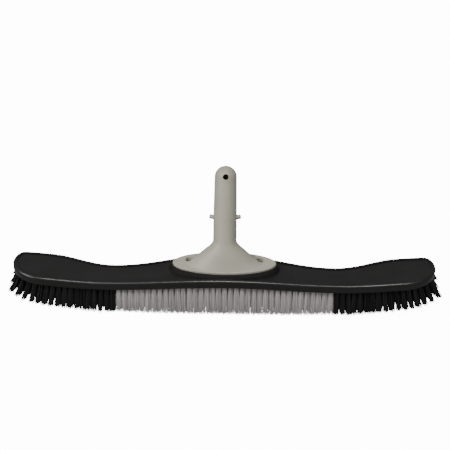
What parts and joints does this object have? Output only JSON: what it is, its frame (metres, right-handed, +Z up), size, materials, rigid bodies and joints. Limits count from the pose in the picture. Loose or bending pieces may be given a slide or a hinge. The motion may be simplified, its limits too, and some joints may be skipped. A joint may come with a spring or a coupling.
{
  "type": "pool wall brush",
  "caption": "Waved pool wall brush with black and white tufts under a rimmed back, and a raked pole spigot with sprung lock buttons.",
  "frame": {"origin": "on the floor under the middle of the brush, at the tips of its longest tufts", "axes": "+X along the brush, -Y its straight front edge, +Z up through the back; the pole spigot leans back towards +Y"},
  "size_m": [0.5278, 0.0949, 0.161],
  "materials": {
    "back_plastic": "semi-gloss moulded black",
    "handle_plastic": "satin moulded warm grey",
    "white_bristle": "off-white nylon filaments",
    "black_bristle": "black nylon filaments",
    "spring_steel": "cold-rolled stainless strip",
    "button_plastic": "satin moulded warm grey",
    "screw_steel": "stainless steel"
  },
  "bodies": {
    "brush": {"brush_back": "back_plastic", "handle": "handle_plastic", "clip_bend": "spring_steel", "handle_screws": "screw_steel", "white_tufts_row_1": "white_bristle", "white_tufts_row_2": "white_bristle", "white_tufts_row_3": "white_bristle", "white_tufts_row_4": "white_bristle", "white_tufts_row_5": "white_bristle", "black_tufts_left_row_1": "black_bristle", "black_tufts_left_row_2": "black_bristle", "black_tufts_left_row_3": "black_bristle", "black_tufts_left_row_4": "black_bristle", "black_tufts_left_row_5": "black_bristle", "black_tufts_right_row_1": "black_bristle", "black_tufts_right_row_2": "black_bristle", "black_tufts_right_row_3": "black_bristle", "black_tufts_right_row_4": "black_bristle", "black_tufts_right_row_5": "black_bristle"},
    "left_button_arm": {"clip_leg_left": "spring_steel", "button_left": "button_plastic"},
    "right_button_arm": {"clip_leg_right": "spring_steel", "button_right": "button_plastic"}
  },
  "joints": [
    {"name": "left_button_press", "type": "hinge", "parent": "brush", "child": "left_button_arm", "pos_m": [-0.004, 0.04115, 0.12947], "axis": [0, -0.866, 0.5], "range_deg": [0, 12], "stiffness_Nm_per_rad": 1.2, "springref_deg": -8.59},
    {"name": "right_button_press", "type": "hinge", "parent": "brush", "child": "right_button_arm", "pos_m": [0.004, 0.04115, 0.12947], "axis": [0, 0.866, -0.5], "range_deg": [0, 12], "stiffness_Nm_per_rad": 1.2, "springref_deg": -8.59}
  ]
}
